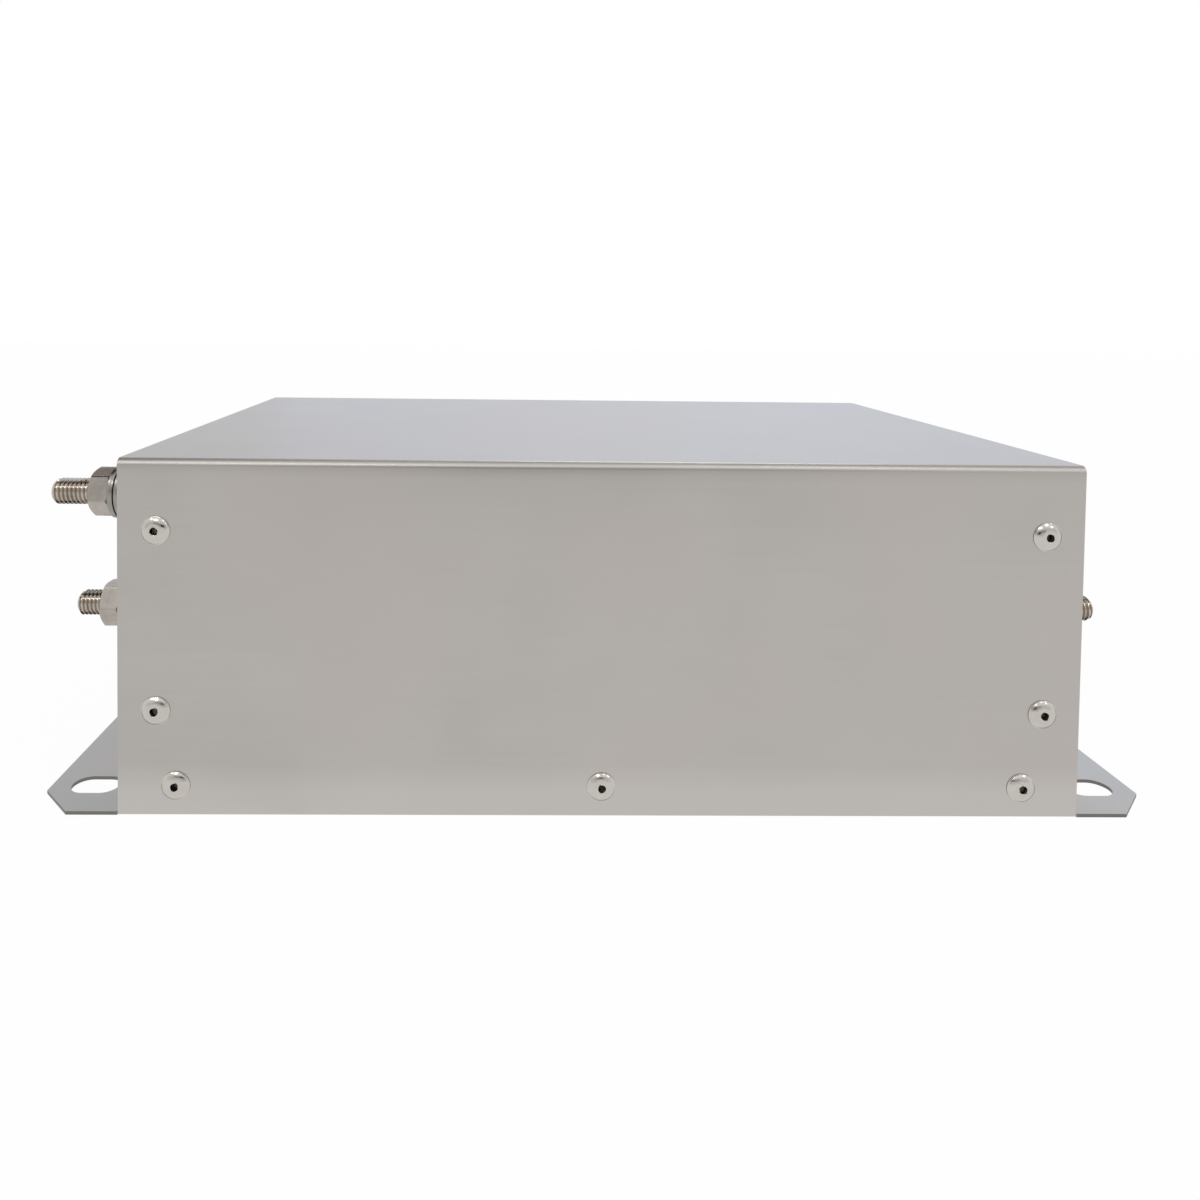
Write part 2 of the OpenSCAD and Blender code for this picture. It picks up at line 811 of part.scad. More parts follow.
// The lead from the line end's lug to the top of the wire at an angle
function line_lead(angle, row) =
    let (top = round_choke(outer_leg_r, angle, lead_z)) [
        [-mouth_x - barrel_l + palm_t, row * stud_pitch, lead_z],
        [wire_bend_r - mouth_x, row * stud_pitch, lead_z],
        [wire_bend_r + lead_turn - mouth_x, top.y, lead_z],
        top];

// The lead from the top of the wire at an angle to the load end's lug, beside the choke
function load_lead(angle, row) =
    let (top = round_choke(outer_leg_r, angle, lead_z)) [
        top,
        [top.x, row * stud_pitch, lead_z],
        [mouth_x + barrel_l - palm_t, row * stud_pitch, lead_z]];

// The middle winding's lead crosses above the choke
function crossing_lead(angle) =
    let (top = round_choke(outer_leg_r, angle, lead_z + cross_rise)) [
        top,
        [mouth_x - wire_bend_r - cross_rise, 0, lead_z + cross_rise],
        [mouth_x - wire_bend_r, 0, lead_z],
        [mouth_x + barrel_l - palm_t, 0, lead_z]];

// The rings of a wire through the points, bent to one radius at each corner.
// Each ring is its centre and the direction of the wire there.
function wire_rings(points) = let (last = len(points) - 1) concat(
    [[points[0], unit(points[1] - points[0])]],
    [for (i = [1:last - 1]) let (
        before = unit(points[i] - points[i - 1]),
        after = unit(points[i + 1] - points[i]),
        turn = acos(before * after),
        inward = unit(after - (before * after) * before),
        start = points[i] - before * wire_bend_r * tan(turn / 2),
        centre = start + inward * wire_bend_r)
        for (step = [0:bend_steps]) let (a = turn * step / bend_steps)
            [centre + wire_bend_r * (before * sin(a) - inward * cos(a)),
                before * cos(a) + inward * sin(a)]],
    [[points[last], unit(points[last] - points[last - 1])]]);

// A direction across each ring, carried along the wire without twist
function ring_sides(rings) = [for (i = 0, side = unit(cross(rings[0][1], [1, 2, 3]));
    i < len(rings); i = i + 1,
    side = i < len(rings) ? unit(side - (side * rings[i][1]) * rings[i][1]) : side) side];

// A round wire through the points
module wire(points) {
    rings = wire_rings(points);
    sides = ring_sides(rings);
    last = len(rings) - 1;
    corners = [for (i = [0:last], k = [0:wire_sides - 1])
        let (a = k * 360 / wire_sides, across = cross(rings[i][1], sides[i]))
            rings[i][0] + wire_r * (sides[i] * cos(a) + across * sin(a))];
    walls = [for (i = [0:last - 1], k = [0:wire_sides - 1])
        let (j = i * wire_sides, next = (k + 1) % wire_sides)
            [j + k, j + wire_sides + k, j + wire_sides + next, j + next]];
    ends = [[for (k = [0:wire_sides - 1]) k],
        [for (k = [0:wire_sides - 1]) len(corners) - 1 - k]];
    polyhedron(corners, concat(walls, ends));
}

// The side windings are alike, to the left and right of the case's centre line
module side_winding(row) {
    a = row * (120 - gap_arc / 2);
    b = row * gap_arc / 2;
    wire(concat(line_lead(a, row), winding_corners(a, b), load_lead(b, row)));
}

module phase_1_winding() {
    color("sienna") side_winding(-1);
}

module phase_2_winding() {
    a = 120 + gap_arc / 2;
    b = 240 - gap_arc / 2;
    color("sienna") wire(concat(line_lead(a, 0), winding_corners(a, b), crossing_lead(b)));
}

module phase_3_winding() {
    color("sienna") side_winding(1);
}

module choke_pad() {
    color("khaki") translate([0, 0, floor_z]) linear_extrude(pad_t) difference() {
        circle(outer_leg_r + wire_r + pad_margin);
        circle(d = clamp_stud_d + 2 * stud_fit);
    }
}

module three_arms(l, w) {
    for (i = [0:2]) rotate(i * 120) translate([0, -w / 2]) square([l, w]);
}

module phase_separator() {
    color("ivory") translate([0, 0, pad_top]) linear_extrude(core_case_top - pad_top)
        difference() {
            union() {
                circle(d = hub_d);
                three_arms(case_inner_r - bush_fit, vane_t);
            }
            circle(d = clamp_stud_d + 2 * stud_fit);
        }
}

module choke_clamp() {
    color("khaki") translate([0, 0, core_case_top]) linear_extrude(clamp_t) difference() {
        union() {
            circle(d = hub_d);
            three_arms(case_outer_r - clamp_edge, clamp_arm_w);
        }
        circle(d = clamp_stud_d + 2 * stud_fit);
    }
}

module clamp_stud() {
    top = clamp_top + washer_t + clamp_nut_h + clamp_stud_over;
    color("darkgray") translate([0, 0, floor_z]) cylinder(d = clamp_stud_d, h = top - floor_z);
}

module clamp_washer() {
    color("lightgray") translate([0, 0, clamp_top])
        washer(clamp_washer_d, clamp_stud_d + 2 * stud_fit, washer_t);
}

module clamp_nut() {
    color("lightgray") translate([0, 0, clamp_top + washer_t])
        nut(clamp_stud_d, clamp_nut_af, clamp_nut_h);
}

base_plate();
cover();
line_end_plate();
load_end_plate();
rivets(-1);  // front_rivets
rivets(1);  // back_rivets
outer_bushes(LINE);  // line_outer_bushes
inner_bushes(LINE);  // line_inner_bushes
studs(LINE);  // line_studs
bush_washers(LINE);  // line_bush_washers
clamp_nuts(LINE);  // line_clamp_nuts
terminal_lug_washers(LINE);  // line_lug_washers
outer_nuts(LINE);  // line_outer_nuts
outer_bushes(LOAD);  // load_outer_bushes
inner_bushes(LOAD);  // load_inner_bushes
studs(LOAD);  // load_studs
bush_washers(LOAD);  // load_bush_washers
clamp_nuts(LOAD);  // load_clamp_nuts
terminal_lug_washers(LOAD);  // load_lug_washers
outer_nuts(LOAD);  // load_outer_nuts
earth_stud();
earth_toothed_washer();
earth_clamp_nut();
earth_lug_washers();
earth_outer_nut();
bars(LINE);  // line_bars
lugs(LINE);  // line_lugs
lug_screws(LINE);  // line_lug_screws
posts(LINE);  // line_posts
board(LINE);  // line_board
standoffs(LINE);  // line_standoffs
board_screws(LINE);  // line_board_screws
x_capacitors(LINE);  // line_x_capacitors
y_capacitors(LINE);  // line_y_capacitors
resistors(LINE);  // line_resistors
bars(LOAD);  // load_bars
lugs(LOAD);  // load_lugs
lug_screws(LOAD);  // load_lug_screws
posts(LOAD);  // load_posts
board(LOAD);  // load_board
standoffs(LOAD);  // load_standoffs
board_screws(LOAD);  // load_board_screws
x_capacitors(LOAD);  // load_x_capacitors
y_capacitors(LOAD);  // load_y_capacitors
resistors(LOAD);  // load_resistors
choke_core();
core_case();
core_case_lid();
phase_1_winding();
phase_2_winding();
phase_3_winding();
choke_pad();
phase_separator();
choke_clamp();
clamp_stud();
clamp_washer();
clamp_nut();
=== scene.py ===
"""A three-phase line filter: a riveted case of sheet steel with threaded terminals at both ends."""

import math

import bmesh
import bpy
from mathutils import Matrix, Vector, noise


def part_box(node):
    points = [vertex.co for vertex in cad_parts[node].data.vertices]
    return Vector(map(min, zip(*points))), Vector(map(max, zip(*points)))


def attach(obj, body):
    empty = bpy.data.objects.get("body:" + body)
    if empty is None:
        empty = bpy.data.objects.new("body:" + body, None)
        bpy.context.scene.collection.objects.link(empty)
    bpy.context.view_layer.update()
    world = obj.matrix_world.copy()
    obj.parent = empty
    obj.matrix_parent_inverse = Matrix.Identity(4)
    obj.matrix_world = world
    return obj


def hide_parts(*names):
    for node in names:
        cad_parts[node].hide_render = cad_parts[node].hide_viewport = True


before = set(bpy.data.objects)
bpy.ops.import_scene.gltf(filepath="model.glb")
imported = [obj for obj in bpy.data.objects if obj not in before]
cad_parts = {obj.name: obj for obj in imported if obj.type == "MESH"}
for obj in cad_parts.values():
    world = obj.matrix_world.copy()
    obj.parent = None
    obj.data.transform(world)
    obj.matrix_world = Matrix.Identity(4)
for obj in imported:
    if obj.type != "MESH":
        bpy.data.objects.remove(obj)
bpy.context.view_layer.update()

# Pieces are made in millimetres. Materials and the studio are in metres.
MM = 0.001
# The signs of the directions that the ends and the long sides of the case face
LINE_END, LOAD_END = -1, 1
FRONT, BACK = -1, 1


# ---- How a finish is written ----

# Sockets of the Mix node for colours
MIX_SHARE, MIX_FIRST, MIX_SECOND, MIX_RESULT = 0, 6, 7, 2


class Value:
    """A number, colour or vector on its way through the nodes of one finish."""

    def __init__(self, finish, socket):
        self.finish = finish
        self.socket = socket

    def worked(self, operation, *operands):
        """The result of a Math node."""
        inputs = dict(enumerate(operands))
        return self.finish.node("ShaderNodeMath", {"operation": operation}, inputs)

    def __add__(self, other):
        return self.worked("ADD", self, other)

    def __radd__(self, other):
        return self.worked("ADD", other, self)

    def __sub__(self, other):
        return self.worked("SUBTRACT", self, other)

    def __rsub__(self, other):
        return self.worked("SUBTRACT", other, self)

    def __mul__(self, other):
        return self.worked("MULTIPLY", self, other)

    def __rmul__(self, other):
        return self.worked("MULTIPLY", other, self)

    def above(self, other):
        return self.worked("GREATER_THAN", self, other)

    def at_least(self, other):
        return self.worked("MAXIMUM", self, other)

    def size(self):
        return self.worked("ABSOLUTE", self)

    def between(self, low, high, new_low=0.0, new_high=1.0):
        """The value's place between two limits, from new_low to new_high."""
        inputs = dict(enumerate((self, low, high, new_low, new_high)))
        return self.finish.node("ShaderNodeMapRange", {}, inputs)

    def part(self, axis):
        return self.finish.node("ShaderNodeSeparateXYZ", {}, {0: self}, axis)

    def stretched(self, factors):
        settings = {"operation": "MULTIPLY"}
        return self.finish.node("ShaderNodeVectorMath", settings, {0: self, 1: factors})


class Finish:
    """One material and the nodes that make it."""

    def __init__(self, name):
        self.material = bpy.data.materials.new(name)
        self.material.use_nodes = True
        self.tree = self.material.node_tree
        self.tree.nodes.clear()
        self.place = self.node("ShaderNodeTexCoord", {}, {}, "Object")
        self.facing = self.node("ShaderNodeNewGeometry", {}, {}, "Normal")

    def node(self, kind, settings, inputs, output=0):
        """Adds one node: its settings come first, then the values or links of its sockets."""
        made = self.tree.nodes.new(kind)
        for name, value in settings.items():
            setattr(made, name, value)
        for name, value in inputs.items():
            if isinstance(value, Value):
                self.tree.links.new(value.socket, made.inputs[name])
            else:
                made.inputs[name].default_value = value
        return Value(self, made.outputs[output])

    def grain(self, scale, detail=2.0, roughness=0.5, stretch=None):
        """Soft noise, with features of about 1 / scale metres."""
        place = self.place if stretch is None else self.place.stretched(stretch)
        inputs = {"Vector": place, "Scale": scale, "Detail": detail, "Roughness": roughness}
        return self.node("ShaderNodeTexNoise", {}, inputs)

    def specks(self, scale, width):
        """Small round spots, scattered."""
        near = self.node("ShaderNodeTexVoronoi", {}, {"Vector": self.place, "Scale": scale})
        return near.between(width, 0.5 * width)

    def blend(self, share, first, second):
        """A colour between two colours."""
        first, second = (c if isinstance(c, Value) else (*c, 1.0) for c in (first, second))
        inputs = {MIX_SHARE: share, MIX_FIRST: first, MIX_SECOND: second}
        return self.node("ShaderNodeMix", {"data_type": "RGBA"}, inputs, MIX_RESULT)

    def bump(self, height, depth=1.0):
        """The normal of a surface that rises by depth metres where height is 1."""
        return self.node("ShaderNodeBump", {}, {"Height": height, "Distance": depth})

    def close(self, shader, end="ShaderNodeOutputMaterial"):
        """Sends a shader's socket to the output."""
        self.tree.links.new(shader, self.tree.nodes.new(end).inputs[0])

    def done(self, **sockets):
        """Closes the material with one shader. Socket names have _ for a space."""
        shader = self.tree.nodes.new("ShaderNodeBsdfPrincipled")
        for name, value in sockets.items():
            socket = shader.inputs[name.replace("_", " ")]
            if isinstance(value, Value):
                self.tree.links.new(value.socket, socket)
            else:
                socket.default_value = value
        self.close(shader.outputs[0])
        return self.material


# ---- Finishes ----

SHEET_DULL, SHEET_PALE = (0.440, 0.418, 0.394), (0.492, 0.468, 0.440)
BASE_DULL, BASE_PALE = (0.446, 0.442, 0.434), (0.490, 0.485, 0.476)
WARM_STEEL = (0.480, 0.446, 0.421)
# Colour of the painted reflection of the pale floor along the cover's lower edges
PAINTED_REFLECTION_STEEL = (0.56, 0.536, 0.506)
# Colour of the sheet's cut edges: partly the darker cut steel, partly painted shade of the slots
# and gaps they face
CUT_EDGE_AND_SHADE_STEEL = (0.16, 0.145, 0.13)
SHEET_GRAIN_DEPTH = 0.0000012

# Below a fold's top: where the wall starts to lean in, and how far it does by the top
LEAN_START = 0.0055
LEAN_DEPTH = 0.00029
# Below a fold's top: where the rougher skin of the bend starts, and where it is full
BEND_START = 0.0032
BEND_FULL = 0.0012
# Height of the painted reflection of the pale floor, a paler strip along the lower edges of the
# cover, and where it is fully pale
REFLECTION_BAND_TOP = 0.0146
REFLECTION_BAND_FULL = 0.0067


def sheet_steel(name, rolled, edge_axis, dull, pale, edge_from=0.0, fold_top=None):
    """Cold-rolled sheet with a satin finish. rolled is the direction of the grain. A face that
    looks along edge_axis, or away from z if that is None, is a sheared edge, and in that second
    case only further than edge_from from the middle. The walls under fold_top lean in a little,
    where the brake bent them, and the bend itself is rougher. Their lower edges carry a paler
    band painted into the colour: a painted reflection of the pale floor."""
    f = Finish(name)
    level = f.place.part(2)
    looks_up = f.facing.part(2)

    def along_grain(share):
        return (share, 1.0, 1.0) if rolled == "x" else (1.0, share, 1.0)

    clouds = f.grain(9.0, 3.0, 0.55)
    patches = f.grain(38.0)
    blush = f.grain(21.0, 1.0)
    streaks = f.grain(420.0, 3.0, 0.7, along_grain(0.05))
    lines = f.grain(1400.0, 2.0, 0.6, along_grain(0.02))
    fine = f.grain(2600.0, 1.0)
    # The sheared faces found here get a dark colour below that is partly painted shade
    if edge_axis is None:
        sheared = looks_up.size().between(0.8, 0.4) * f.place.part(0).size().above(edge_from)
    else:
        sheared = f.facing.part(edge_axis).size().between(0.4, 0.8)
    tone = clouds * 0.34 + patches * 0.36 + streaks * 0.22 + lines * 0.08
    colour = f.blend(tone.between(0.3, 0.7), dull, pale)
    warm = blush.between(0.3, 0.75)
    colour = f.blend(warm * warm, colour, WARM_STEEL)
    rough = clouds.between(0.2, 0.8, 0.28, 0.33) + sheared * 0.15
    relief = lines * SHEET_GRAIN_DEPTH + fine * SHEET_GRAIN_DEPTH
    if fold_top is not None:
        # Painted reflection: the lower edges of the walls are paler in colour in place of the pale
        # floor's reflection
        colour = f.blend(level.between(REFLECTION_BAND_TOP, REFLECTION_BAND_FULL) * 0.55, colour, PAINTED_REFLECTION_STEEL)
        lean = level.between(fold_top - LEAN_START, fold_top)
        relief = relief - lean * lean * LEAN_DEPTH
        bent = level.between(fold_top - BEND_START, fold_top - BEND_FULL)
        rough = rough + bent * looks_up.between(0.99, 0.9) * 0.12
    return f.done(
        # Cut edges darkened: partly the cut steel's own colour, partly painted shade inside slots
        # and gaps
        Base_Color=f.blend(sheared * 0.9, colour, CUT_EDGE_AND_SHADE_STEEL),
        Metallic=1.0,
        Roughness=rough,
        Normal=f.bump(relief),
    )


def nickel_plate(name, pale=(0.425, 0.391, 0.356), dull=(0.338, 0.304, 0.273), rough=0.15):
    """Bright nickel on steel, with faint wipe marks and handling spots."""
    f = Finish(name)
    clouds = f.grain(220.0, 3.0, 0.6)
    wipes = f.grain(1900.0, 2.0, 0.6, (1.0, 0.25, 0.25))
    spots = f.specks(480.0, 0.12)
    colour = f.blend(clouds.between(0.35, 0.7), pale, dull)
    haze = clouds.between(0.3, 0.7, rough - 0.04, rough + 0.05)
    return f.done(
        Base_Color=f.blend(spots * 0.25, colour, (0.36, 0.31, 0.26)),
        Metallic=1.0,
        Roughness=haze + wipes.between(0.4, 0.7, 0.0, 0.05),
        Normal=f.bump(wipes, 0.000003),
    )


def bright_aluminium():
    """Soft bright aluminium with the small bruises of the setting tool."""
    f = Finish("rivet aluminium")
    bruises = f.grain(900.0)
    haze = f.grain(300.0)
    return f.done(
        Base_Color=f.blend(haze.between(0.3, 0.7), (0.52, 0.493, 0.455), (0.57, 0.543, 0.504)),
        Metallic=1.0,
        Roughness=haze.between(0.3, 0.7, 0.13, 0.24),
        Normal=f.bump(bruises, 0.00003),
    )


def broken_steel():
    """The torn end of a rivet's mandrel, deep in its hole. Its near-black patches are painted shade
    of the deep hole, between grey bits of torn steel.
    """
    f = Finish("mandrel steel with painted shade")
    torn = f.grain(2500.0, 3.0, 0.7)
    return f.done(
        # Painted shade: the near-black colour stands in for the shade deep in the rivet's hole
        Base_Color=f.blend(torn.between(0.35, 0.65), (0.02, 0.018, 0.017), (0.22, 0.21, 0.20)),
        Metallic=0.8,
        Roughness=0.6,
        Normal=f.bump(torn, 0.00008),
    )


def moulded_plastic(name, low, high):
    """Moulded plastic with a fine spark-eroded texture."""
    f = Finish(name)
    texture = f.grain(2800.0, 2.0, 0.6)
    flow = f.grain(60.0)
    return f.done(
        Base_Color=f.blend(flow.between(0.3, 0.7), low, high),
        Roughness=texture.between(0.3, 0.7, 0.44, 0.58),
        Normal=f.bump(texture, 0.00001),
    )


def bare_metal(name, low, high, rough, line_scale=500.0, stretch=(0.1, 1.0, 1.0)):
    """Drawn or rolled metal with tarnish in soft patches."""
    f = Finish(name)
    tarnish = f.grain(90.0, 4.0, 0.6)
    lines = f.grain(line_scale, 2.0, 0.5, stretch)
    return f.done(
        Base_Color=f.blend((tarnish * 0.7 + lines * 0.3).between(0.3, 0.7), low, high),
        Metallic=1.0,
        Roughness=tarnish.between(0.3, 0.7, rough, rough + 0.12),
        Normal=f.bump(lines, 0.000006),
    )


def woven_laminate(name, low, high, rough=0.35):
    """Glass cloth in resin: the weave shows faintly under the surface."""
    f = Finish(name)
    threads = {"Vector": f.place, "Scale": 320.0}
    across = f.node("ShaderNodeTexWave", {"bands_direction": "X"}, threads)
    along = f.node("ShaderNodeTexWave", {"bands_direction": "Y"}, threads)
    weave = across * along
    clouds = f.grain(40.0)
    return f.done(
        Base_Color=f.blend((weave * 0.5 + clouds * 0.5).between(0.2, 0.7), low, high),
        Roughness=clouds.between(0.3, 0.7, rough, rough + 0.1),
        Normal=f.bump(weave, 0.00001),
    )


def lacquer(name, low, high, rough=0.2):
    """Dipped or moulded parts with a glossy skin."""
    f = Finish(name)
    flow = f.grain(120.0, 3.0)
    return f.done(
        Base_Color=f.blend(flow.between(0.3, 0.7), low, high),
        Roughness=flow.between(0.3, 0.7, rough, rough + 0.1),
        Coat_Weight=0.3,
        Normal=f.bump(flow, 0.0001),
    )


# How far from the middle the base plate stands out past the case, with its edges sheared
FLANGE_START = 0.1352

cover_steel = sheet_steel(
    "cover sheet", "x", 0, SHEET_DULL, SHEET_PALE, fold_top=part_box("cover")[1].z
)
base_steel = sheet_steel("base sheet", "x", None, BASE_DULL, BASE_PALE, edge_from=FLANGE_START)
end_steel = sheet_steel("end plate sheet", "y", 2, SHEET_DULL, SHEET_PALE)
nut_nickel = nickel_plate("nickel on nuts")
washer_nickel = nickel_plate(
    "nickel on washers", (0.335, 0.316, 0.291), (0.28, 0.259, 0.234), 0.22
)
stud_nickel = nickel_plate("nickel on studs", (0.52, 0.475, 0.42), (0.37, 0.325, 0.275), 0.08)
screw_nickel = nickel_plate("nickel on screws")
rivet_metal = bright_aluminium()
mandrel_steel = broken_steel()
bush_plastic = moulded_plastic("bush plastic", (0.012, 0.012, 0.013), (0.022, 0.022, 0.023))
ivory_plastic = moulded_plastic("ivory plastic", (0.66, 0.62, 0.50), (0.74, 0.70, 0.58))
turned_brass = bare_metal(
    "turned brass", (0.60, 0.43, 0.16), (0.76, 0.58, 0.27), 0.22, 900.0, (1.0, 1.0, 0.1)
)
enamelled_wire = bare_metal("enamelled wire", (0.36, 0.10, 0.03), (0.52, 0.18, 0.06), 0.18)
core_strip = bare_metal(
    "wound alloy strip", (0.05, 0.05, 0.052), (0.11, 0.11, 0.115), 0.4, 2500.0, (0.1, 0.1, 1.0)
)
fibre_sheet = woven_laminate("glass-fibre sheet", (0.46, 0.40, 0.17), (0.60, 0.54, 0.27), 0.5)

CASE_FINISHES = {
    "cover": cover_steel,
    "base_plate": base_steel,
    "line_end_plate": end_steel,
    "load_end_plate": end_steel,
}
CHOKE_FINISHES = {
    "choke_core": core_strip,
    "core_case": ivory_plastic,
    "core_case_lid": ivory_plastic,
    "phase_separator": ivory_plastic,
    "phase_1_winding": enamelled_wire,
    "phase_2_winding": enamelled_wire,
    "phase_3_winding": enamelled_wire,
    "choke_pad": fibre_sheet,
    "choke_clamp": fibre_sheet,
    "clamp_stud": stud_nickel,
    "clamp_washer": washer_nickel,
    "clamp_nut": nut_nickel,
}
# Both ends have these nodes, with line_ or load_ before the name
END_FINISHES = {
    "inner_bushes": bush_plastic,
    "bars": bare_metal("bare copper", (0.62, 0.28, 0.16), (0.80, 0.42, 0.26), 0.24),
    "lugs": bare_metal("tinned copper", (0.55, 0.55, 0.54), (0.70, 0.70, 0.69), 0.3),
    "lug_screws": screw_nickel,
    "posts": turned_brass,
    "board": woven_laminate("green laminate", (0.008, 0.075, 0.03), (0.02, 0.14, 0.06)),
    "standoffs": turned_brass,
    "board_screws": screw_nickel,
    "x_capacitors": lacquer("yellow film box", (0.72, 0.48, 0.05), (0.80, 0.56, 0.09), 0.3),
    "y_capacitors": lacquer("blue lacquer", (0.01, 0.07, 0.34), (0.02, 0.11, 0.44)),
    "resistors": lacquer("sand lacquer", (0.46, 0.34, 0.19), (0.56, 0.43, 0.26)),
}


def finish_node(node, material):
    """Gives a CAD node its material."""
    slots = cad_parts[node].data.materials
    slots.clear()
    slots.append(material)


for node, material in {**CASE_FINISHES, **CHOKE_FINISHES}.items():
    finish_node(node, material)
for end in ("line", "load"):
    for part, material in END_FINISHES.items():
        finish_node(f"{end}_{part}", material)


# ---- How a piece is made ----


def solids(node):
    """The lowest and highest corners of each separate solid in a CAD node, in millimetres."""
    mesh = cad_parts[node].data
    group = list(range(len(mesh.vertices)))

    def head(i):
        while group[i] != i:
            group[i] = group[group[i]]
            i = group[i]
        return i

    first_at = {}
    for v in mesh.vertices:
        first = first_at.setdefault(tuple(round(c / MM, 3) for c in v.co), v.index)
        group[head(v.index)] = head(first)
    for e in mesh.edges:
        group[head(e.vertices[0])] = head(e.vertices[1])
    boxes = {}
    for v in mesh.vertices:
        point = v.co / MM
        low, high = boxes.setdefault(head(v.index), (point.copy(), point.copy()))
        for axis in range(3):
            low[axis] = min(low[axis], point[axis])
            high[axis] = max(high[axis], point[axis])
    return sorted(boxes.values(), key=lambda box: tuple(round(c, 2) for c in box[0]))


def ring(radius, height, count):
    """A ring of points round z. radius and height are numbers, or functions of the angle."""
    points = []
    for i in range(count):
        angle = 2 * math.pi * i / count
        r = radius(angle) if callable(radius) else radius
        z = height(angle) if callable(height) else height
        points.append(Vector((r * math.cos(angle), r * math.sin(angle), z)))
    return points


class Piece:
    """A mesh that is put together in millimetres from rings of points."""

    def __init__(self, name, *materials):
        self.name = name
        self.materials = materials
        self.points = []
        self.faces = []
        self.face_finish = []

    def skin(self, rings, place, closed=False, finish=0):
        """Joins rings into a surface. A ring of one point closes it to a tip, and closed joins the
        last ring to the first. finish counts through the piece's materials."""
        starts = []
        for points in rings:
            starts.append((len(self.points), len(points)))
            self.points += [place @ p for p in points]
        pairs = list(zip(starts, starts[1:]))
        if closed:
            pairs.append((starts[-1], starts[0]))
        for (a, count_a), (b, count_b) in pairs:
            count = max(count_a, count_b)
            for i in range(count):
                j = (i + 1) % count
                if count_a == 1:
                    face = (a, b + j, b + i)
                elif count_b == 1:
                    face = (a + i, a + j, b)
                else:
                    face = (a + i, a + j, b + j, b + i)
                self.faces.append(face)
                self.face_finish.append(finish)

    def turned(self, profile, place, count, closed=False):
        """A turned shape from (radius, height) pairs. A radius of 0 is a tip."""
        rings = [[Vector((0, 0, h))] if r == 0 else ring(r, h, count) for r, h in profile]
        self.skin(rings, place, closed)

    def made(self, replaces, slot, smooth_below=32.0):
        """Makes the object. It rides on the filter and stands for CAD nodes, and its edges are
        sharp where they turn by more than smooth_below degrees."""
        mesh = bpy.data.meshes.new(self.name)
        mesh.from_pydata([p * MM for p in self.points], [], self.faces)
        for material in self.materials:
            mesh.materials.append(material)
        mesh.polygons.foreach_set("material_index", self.face_finish)
        mesh.shade_smooth()
        mesh.set_sharp_from_angle(angle=math.radians(smooth_below))
        mesh.update()
        made = bpy.data.objects.new(self.name, mesh)
        bpy.context.scene.collection.objects.link(made)
        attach(made, "root")
        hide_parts(*replaces)


def standing(centre, direction):
    """A place with its z along a level direction, and its x level."""
    out = Vector(direction)
    across = Vector((0, 0, 1)).cross(out)
    turn = Matrix((across, out.cross(across), out)).transposed().to_4x4()
    return Matrix.Translation(Vector(centre)) @ turn


def seats(node, end):
    """The places of a node's solids on the axis that points out of one end, and their lengths.
    A place has its z along the axis and its x upright."""
    out_of_end = Matrix(((0, 0, end, 0), (0, 1, 0, 0), (-end, 0, 0, 0), (0, 0, 0, 1)))
    found = []
    for low, high in solids(node):
        centre = (low + high) / 2
        inner_x = high.x if end < 0 else low.x
        place = Matrix.Translation((inner_x, centre.y, centre.z)) @ out_of_end
        found.append((place, high.x - low.x))
    return found


def rounded(corners, radius, steps=3):
    """A profile of (radius, height) pairs with its inner corners rounded."""
    soft = [corners[0]]
    for before, corner, after in zip(corners, corners[1:], corners[2:]):
        b, c, a = (Vector(p) for p in (before, corner, after))
        reach = min(radius, (b - c).length / 2, (a - c).length / 2)
        start, stop = c + (b - c).normalized() * reach, c + (a - c).normalized() * reach
        for i in range(steps + 1):
            t = i / steps
            point = start * (1 - t) ** 2 + c * 2 * t * (1 - t) + stop * t * t
            soft.append((point.x, point.y))
    soft.append(corners[-1])
    return soft


def add_turned_loop(piece, corners, radius, place, count=72):
    """A ring-shaped turned part. Its corners run once round the section, and all are rounded."""
    loop = rounded([corners[-1], *corners, corners[0]], radius)[1:-1]
    piece.turned(loop, place, count, closed=True)


# ---- Nuts ----

NUT_ACROSS = 13.0
NUT_BORE_R = 4.03
NUT_BORE_SINK = 0.45
NUT_TURN = math.radians(29)
EARTH_NUT_TURN = math.radians(15.5)
HEX_POINTS = 96
# How far out the worn corners reach, as a share of sharp ones, and the width of the soft edges
HEX_WORN = 0.985
HEX_SOFT = 0.12
# The round flat of a hexagon's face, as a share of its width, and the slope of the turned edge
HEX_FACE = 0.955
HEX_SLOPE = math.tan(math.radians(30))


